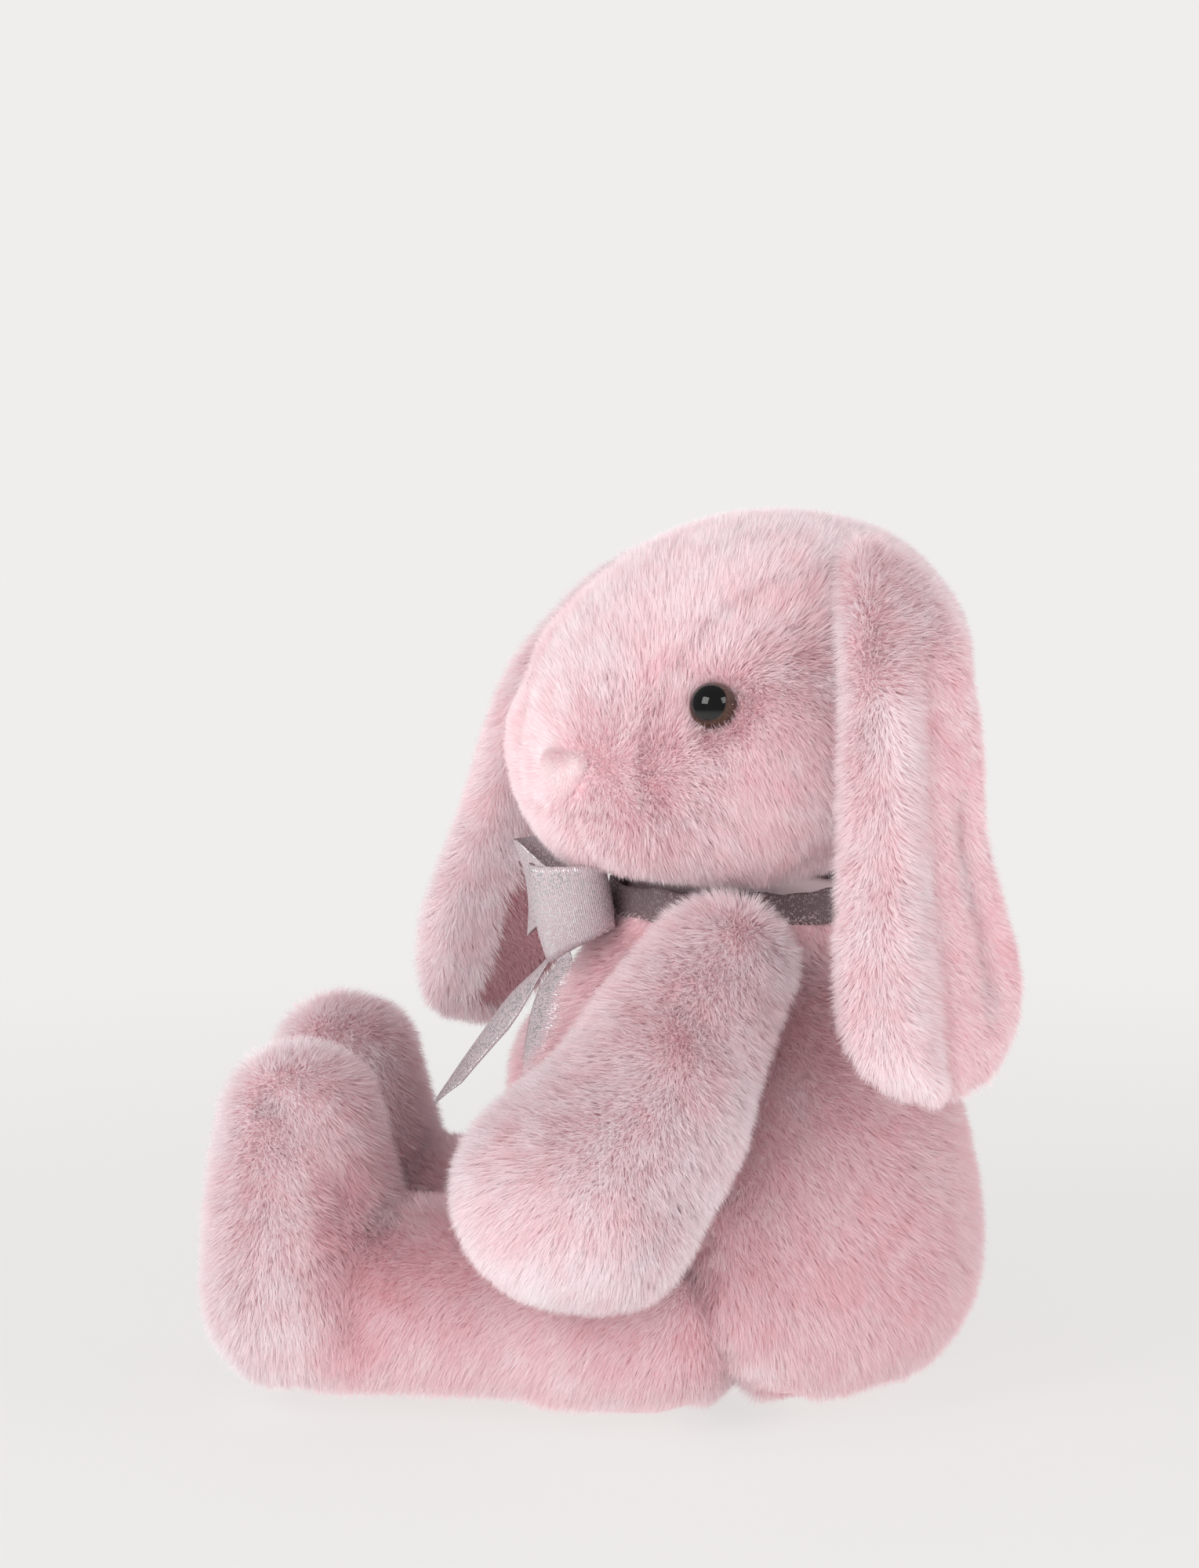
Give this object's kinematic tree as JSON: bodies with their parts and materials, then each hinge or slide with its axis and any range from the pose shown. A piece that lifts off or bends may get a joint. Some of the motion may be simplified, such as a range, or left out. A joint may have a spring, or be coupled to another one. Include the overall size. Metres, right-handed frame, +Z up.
{
  "type": "stuffed rabbit toy",
  "caption": "Seated plush rabbit with long hanging ears, safety eyes, upright feet and a ribbon bow; head, ears, arms and legs move at their seams.",
  "frame": {"origin": "on the floor, at the middle of the face that the torso sits on", "axes": "+Z up; the rabbit faces -Y; +X is its left side"},
  "size_m": [0.2834, 0.2794, 0.2923],
  "materials": {
    "pink_fur": "long soft plush pile, pale pink at the tips and dusky rose at the roots",
    "ear_lining": "short smooth dusky pink pile",
    "nose_velour": "short pale pink velour",
    "glitter_ribbon": "silver grey woven ribbon with metallic glitter threads",
    "eye_gloss": "polished black dome with a dark brown rim",
    "washer_plastic": "plain natural moulded plastic",
    "fibre_fill": "white polyester fibre"
  },
  "bodies": {
    "torso": {"bow_knot": "glitter_ribbon", "bow_loop_left": "glitter_ribbon", "bow_loop_right": "glitter_ribbon", "bow_tail_left": "glitter_ribbon", "bow_tail_right": "glitter_ribbon", "neck_ribbon": "glitter_ribbon", "torso_shell": "pink_fur", "torso_stuffing": "fibre_fill"},
    "head": {"eye_left": "eye_gloss", "eye_right": "eye_gloss", "eye_washer_left": "washer_plastic", "eye_washer_right": "washer_plastic", "head_gusset": "pink_fur", "head_side_left": "pink_fur", "head_side_right": "pink_fur", "head_stuffing": "fibre_fill", "nose_patch": "nose_velour"},
    "ear_left": {"ear_lining_left": "ear_lining", "ear_outer_left": "pink_fur"},
    "arm_left": {"arm_shell_left": "pink_fur", "arm_stuffing_left": "fibre_fill"},
    "leg_left": {"leg_shell_left": "pink_fur", "leg_stuffing_left": "fibre_fill"},
    "ear_right": {"ear_lining_right": "ear_lining", "ear_outer_right": "pink_fur"},
    "arm_right": {"arm_shell_right": "pink_fur", "arm_stuffing_right": "fibre_fill"},
    "leg_right": {"leg_shell_right": "pink_fur", "leg_stuffing_right": "fibre_fill"}
  },
  "joints": [
    {"name": "neck_turn", "type": "hinge", "parent": "torso", "child": "head", "pos_m": [0, 0, 0.172], "axis": [0, 0, 1], "range_deg": [-6, 8]},
    {"name": "ear_lift_left", "type": "hinge", "parent": "head", "child": "ear_left", "pos_m": [0.05706, 0.05333, 0.266], "axis": [0.7193, -0.6947, 0], "range_deg": [0, 75]},
    {"name": "arm_swing_left", "type": "hinge", "parent": "torso", "child": "arm_left", "pos_m": [0.07171, 0.007, 0.152], "axis": [-0.9272, 0, -0.3746], "range_deg": [-20, 40]},
    {"name": "leg_spread_left", "type": "hinge", "parent": "torso", "child": "leg_left", "pos_m": [0.05, -0.024, 0.036], "axis": [0, 0, 1], "range_deg": [-3, 15]},
    {"name": "ear_lift_right", "type": "hinge", "parent": "head", "child": "ear_right", "pos_m": [-0.05994, -0.05055, 0.257], "axis": [-0.7193, 0.6947, 0], "range_deg": [0, 45]},
    {"name": "arm_swing_right", "type": "hinge", "parent": "torso", "child": "arm_right", "pos_m": [-0.07171, 0.007, 0.152], "axis": [-0.9272, 0, 0.3746], "range_deg": [-15, 8]},
    {"name": "leg_spread_right", "type": "hinge", "parent": "torso", "child": "leg_right", "pos_m": [-0.05, -0.032, 0.036], "axis": [0, 0, -1], "range_deg": [-3, 15]}
  ]
}
